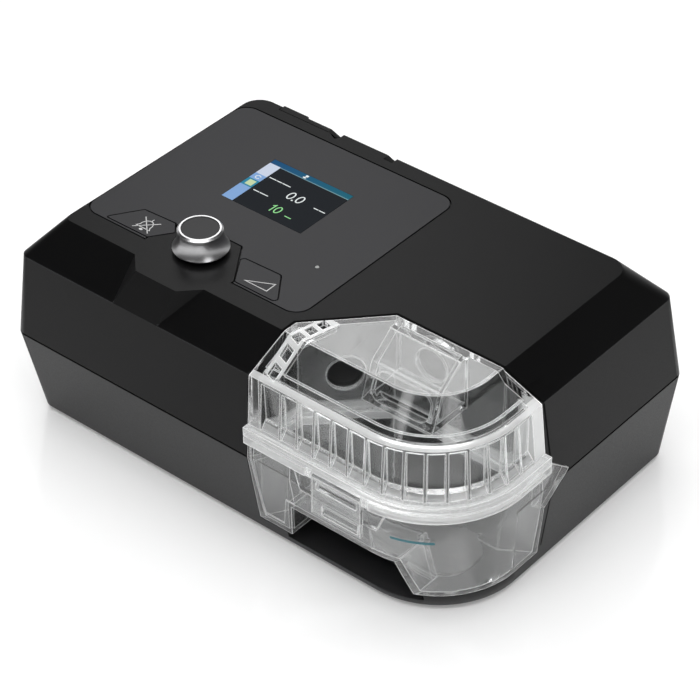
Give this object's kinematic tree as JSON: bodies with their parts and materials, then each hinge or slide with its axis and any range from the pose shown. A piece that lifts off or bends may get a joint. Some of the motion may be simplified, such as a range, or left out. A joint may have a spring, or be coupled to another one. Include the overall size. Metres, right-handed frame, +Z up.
{
  "type": "cpap machine",
  "caption": "Bench-top breathing-air machine with sloped black case, screen, metal knob, push buttons and a clear ribbed water chamber that slides out.",
  "frame": {"origin": "on the table, under the middle of the part's full extent", "axes": "+X to the right of someone facing the front, +Y to the back, +Z up"},
  "size_m": [0.2667, 0.1894, 0.126],
  "materials": {
    "case_black": "satin, fine spark-eroded texture, near black",
    "panel_grey": "satin, a shade lighter than the case",
    "button_grey": "satin, with printed pictogram",
    "screen_glass": "clear hard-coated window over a lit colour display",
    "knob_metal": "satin turned, bright chamfered rim",
    "knob_cap": "satin dark grey",
    "clear_plastic": "clear injection-moulded polycarbonate",
    "clear_silicone": "translucent silicone",
    "plate_steel": "pressed stainless steel",
    "pin_steel": "ground steel",
    "screw_steel": "zinc-plated steel",
    "heater_alu": "plain aluminium",
    "black_rubber": "black rubber",
    "inner_plastic": "plain dark grey moulding",
    "port_plastic": "black, slightly glossy",
    "white_plastic": "white engineering plastic",
    "board_green": "green fibreglass circuit board",
    "socket_black": "black moulded socket",
    "copper": "enamelled copper windings on an iron ring",
    "filter_foam": "grey open-cell filter foam",
    "lens": "frosted light pipe"
  },
  "bodies": {
    "case": {"base_case": "case_black", "top_case": "case_black", "control_panel": "panel_grey", "display_window": "screen_glass", "display_module": "socket_black", "button_switches": "socket_black", "status_lens": "lens", "main_board": "board_green", "board_screws": "screw_steel", "encoder_body": "socket_black", "heater_plate": "heater_alu", "heater_pad": "black_rubber", "port_seal_in": "black_rubber", "port_seal_out": "black_rubber", "blower_lower": "inner_plastic", "blower_upper": "inner_plastic", "blower_mounts": "black_rubber", "motor_stator": "copper", "inlet_muffler": "inner_plastic", "inlet_duct": "inner_plastic", "outlet_duct": "inner_plastic", "hose_port": "port_plastic", "filter_pad": "filter_foam", "power_jack": "socket_black", "card_socket": "socket_black", "rear_board": "board_green", "rubber_feet": "black_rubber", "case_screws": "screw_steel"},
    "mute": {"mute_button": "button_grey"},
    "ramp": {"ramp_button": "button_grey"},
    "knob_push": {"encoder_plunger": "pin_steel"},
    "knob": {"knob_ring": "knob_metal", "knob_cap": "knob_cap", "encoder_shaft": "pin_steel"},
    "chamber": {"chamber_tub": "clear_plastic", "chamber_plate": "plate_steel", "chamber_seal": "clear_silicone"},
    "lid": {"chamber_lid": "clear_plastic", "latch_pin": "pin_steel"},
    "latch": {"lid_latch": "clear_plastic"},
    "fan": {"impeller": "white_plastic", "rotor": "pin_steel"},
    "cover": {"filter_cover": "case_black"}
  },
  "joints": [
    {"name": "mute_press", "type": "slide", "parent": "case", "child": "mute", "axis": [0, 0, -1], "range_m": [0, 0.0006], "stiffness_N_per_m": 2500, "springref_m": -0.0004},
    {"name": "ramp_press", "type": "slide", "parent": "case", "child": "ramp", "axis": [0, 0, -1], "range_m": [0, 0.0006], "stiffness_N_per_m": 2500, "springref_m": -0.0004},
    {"name": "knob_press", "type": "slide", "parent": "case", "child": "knob_push", "axis": [0, 0, -1], "range_m": [0, 0.0008], "stiffness_N_per_m": 4000, "springref_m": -0.0004},
    {"name": "knob_turn", "type": "hinge", "parent": "knob_push", "child": "knob", "pos_m": [-0.0472, -0.05118, 0.1146], "axis": [0, 0, 1], "continuous": true},
    {"name": "chamber_slide", "type": "slide", "parent": "case", "child": "chamber", "axis": [0, -1, 0], "range_m": [0, 0.095]},
    {"name": "lid_lift", "type": "slide", "parent": "chamber", "child": "lid", "axis": [0, 0, 1], "range_m": [0, 0.05]},
    {"name": "latch_tilt", "type": "hinge", "parent": "lid", "child": "latch", "pos_m": [0.0684, -0.09312, 0.062], "axis": [-1, 0, 0], "range_deg": [0, 35]},
    {"name": "fan_spin", "type": "hinge", "parent": "case", "child": "fan", "pos_m": [-0.0608, -0.00938, 0.036], "axis": [0, 0, 1], "continuous": true},
    {"name": "cover_swing", "type": "hinge", "parent": "case", "child": "cover", "pos_m": [-0.0808, 0.07964, 0.0644], "axis": [-1, 0, 0], "range_deg": [0, 80]}
  ]
}
